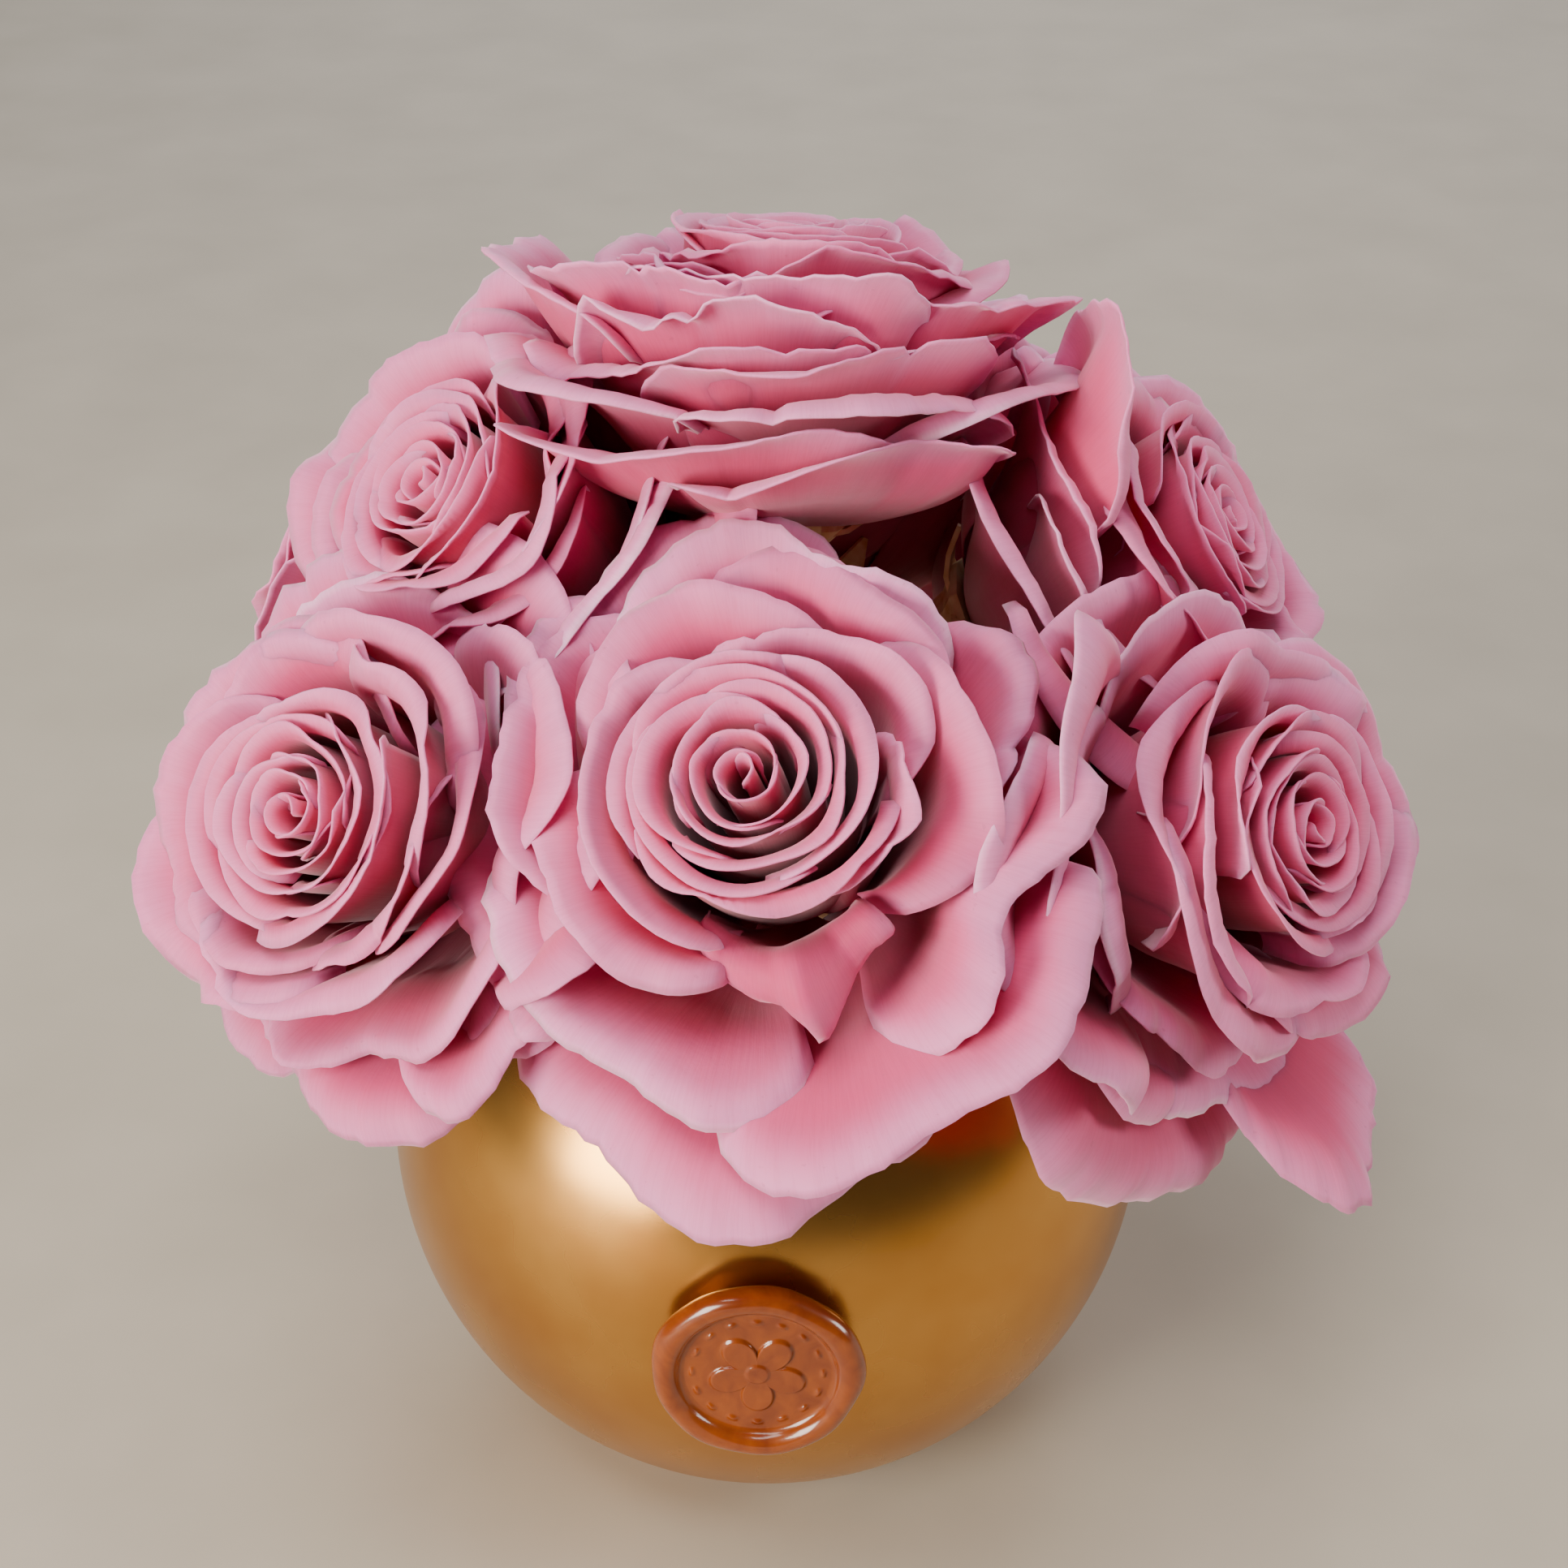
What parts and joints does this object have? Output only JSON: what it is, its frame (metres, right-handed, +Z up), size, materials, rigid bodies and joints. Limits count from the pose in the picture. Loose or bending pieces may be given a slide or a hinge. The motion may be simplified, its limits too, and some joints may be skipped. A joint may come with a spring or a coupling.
{
  "type": "floral table centerpiece",
  "caption": "Low round table centerpiece: open pink roses domed over a satin gold ball-shaped bowl, with a plain wax seal on its front.",
  "frame": {"origin": "centre of the bowl's flat base, on the surface it stands on", "axes": "+Z up through the bowl's middle; -Y the front, where the wax seal is; +X to the right seen from the front"},
  "size_m": [0.19, 0.1822, 0.2116],
  "materials": {
    "satin_gold": "satin gold",
    "dry_foam": "matte, crumbly",
    "amber_wax": "glossy amber",
    "adhesive_pad": "matte",
    "rose_petal": "matte, velvety",
    "rose_sepal": "matte, dried",
    "rose_stem": "matte, dried"
  },
  "bodies": {
    "root": {"bowl": "satin_gold", "foam": "dry_foam", "seal": "amber_wax", "seal_pad": "adhesive_pad", "front_rose_heart": "rose_petal", "front_rose_inner_petals": "rose_petal", "front_rose_outer_petals": "rose_petal", "front_rose_calyx": "rose_sepal", "front_rose_stem": "rose_stem", "left_top_rose_heart": "rose_petal", "left_top_rose_inner_petals": "rose_petal", "left_top_rose_outer_petals": "rose_petal", "left_top_rose_calyx": "rose_sepal", "left_top_rose_stem": "rose_stem", "left_rose_heart": "rose_petal", "left_rose_inner_petals": "rose_petal", "left_rose_outer_petals": "rose_petal", "left_rose_calyx": "rose_sepal", "left_rose_stem": "rose_stem", "crown_rose_heart": "rose_petal", "crown_rose_inner_petals": "rose_petal", "crown_rose_outer_petals": "rose_petal", "crown_rose_calyx": "rose_sepal", "crown_rose_stem": "rose_stem", "right_top_rose_heart": "rose_petal", "right_top_rose_inner_petals": "rose_petal", "right_top_rose_outer_petals": "rose_petal", "right_top_rose_calyx": "rose_sepal", "right_top_rose_stem": "rose_stem", "right_rose_heart": "rose_petal", "right_rose_inner_petals": "rose_petal", "right_rose_outer_petals": "rose_petal", "right_rose_calyx": "rose_sepal", "right_rose_stem": "rose_stem", "back_left_rose_heart": "rose_petal", "back_left_rose_inner_petals": "rose_petal", "back_left_rose_outer_petals": "rose_petal", "back_left_rose_calyx": "rose_sepal", "back_left_rose_stem": "rose_stem", "back_rose_heart": "rose_petal", "back_rose_inner_petals": "rose_petal", "back_rose_outer_petals": "rose_petal", "back_rose_calyx": "rose_sepal", "back_rose_stem": "rose_stem", "back_right_rose_heart": "rose_petal", "back_right_rose_inner_petals": "rose_petal", "back_right_rose_outer_petals": "rose_petal", "back_right_rose_calyx": "rose_sepal", "back_right_rose_stem": "rose_stem"}
  },
  "joints": []
}
